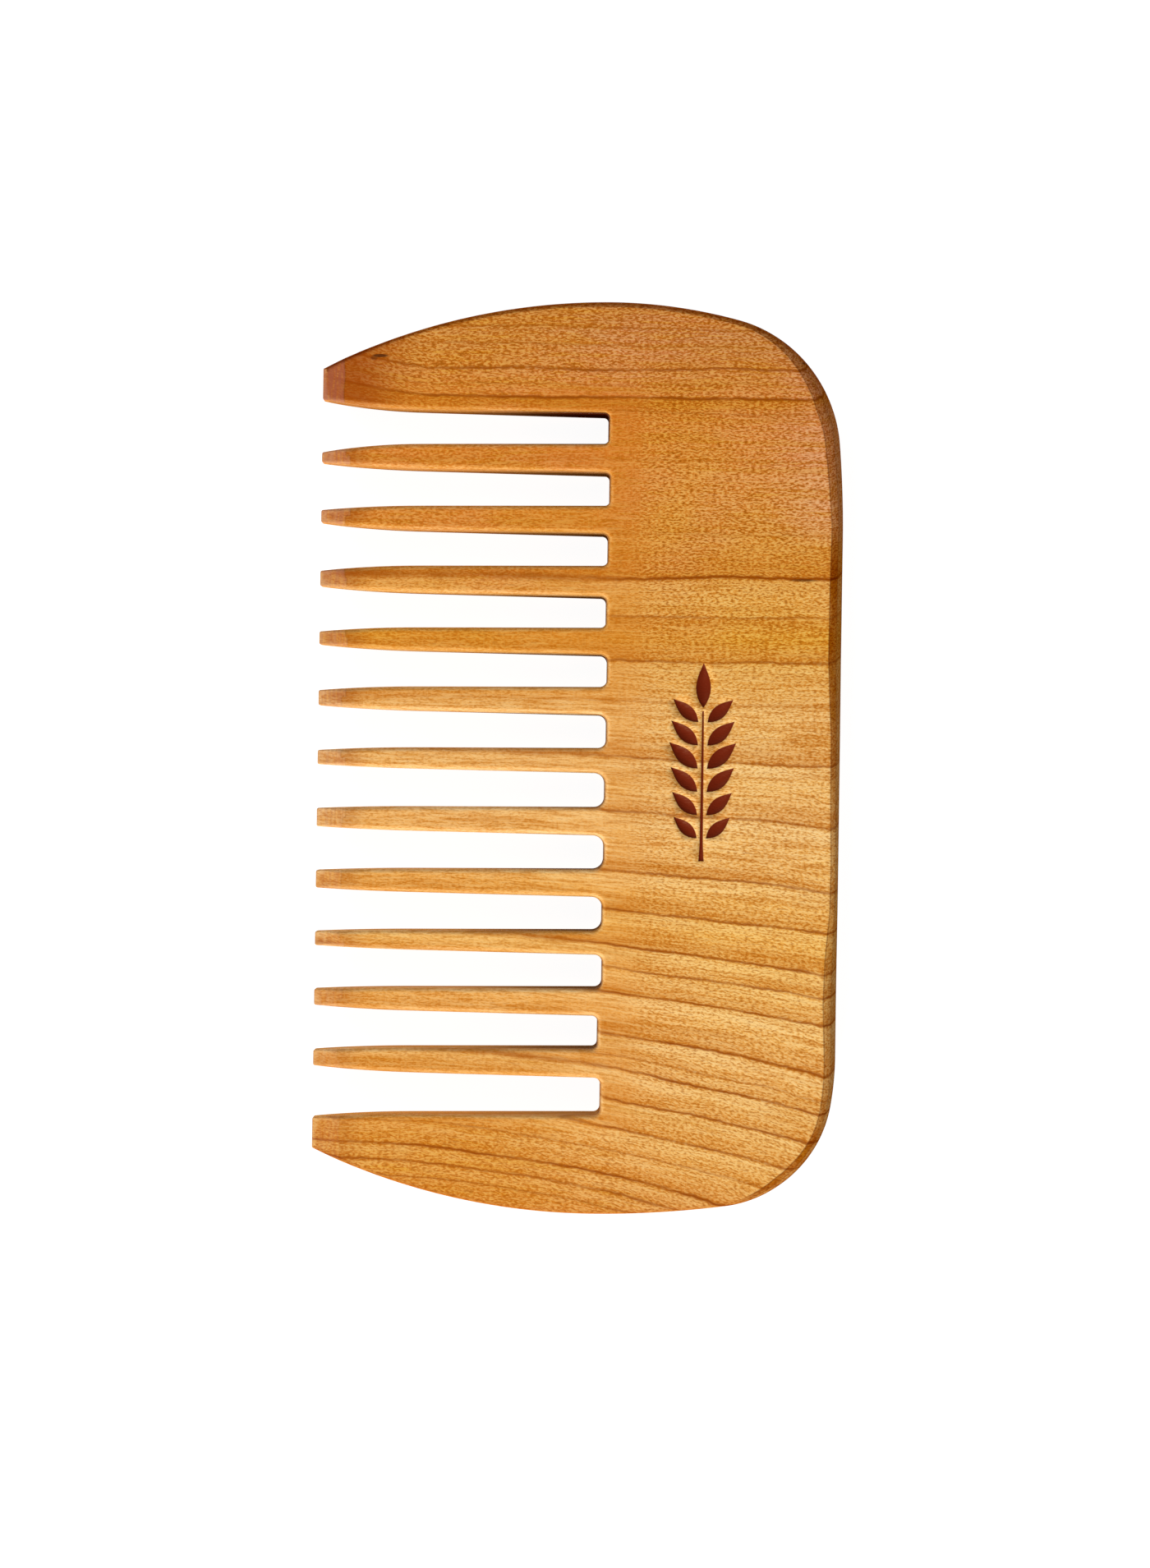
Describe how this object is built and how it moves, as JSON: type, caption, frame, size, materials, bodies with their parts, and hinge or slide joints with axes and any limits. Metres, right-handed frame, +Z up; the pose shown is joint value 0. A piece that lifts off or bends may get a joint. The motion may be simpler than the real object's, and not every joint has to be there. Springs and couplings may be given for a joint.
{
  "type": "wooden comb",
  "caption": "Small wide-tooth wooden comb with a rounded back, a bevelled edge, broad end teeth and a row of slender tapered teeth.",
  "frame": {"origin": "on the surface that the comb lies on, under the middle of its outline", "axes": "+X from the tooth tips to the back, +Y along the comb, +Z up through its thickness"},
  "size_m": [0.0574, 0.1, 0.008],
  "materials": {
    "wood": "satin, hand sanded and oiled"
  },
  "bodies": {
    "root": {"comb": "wood"}
  },
  "joints": []
}
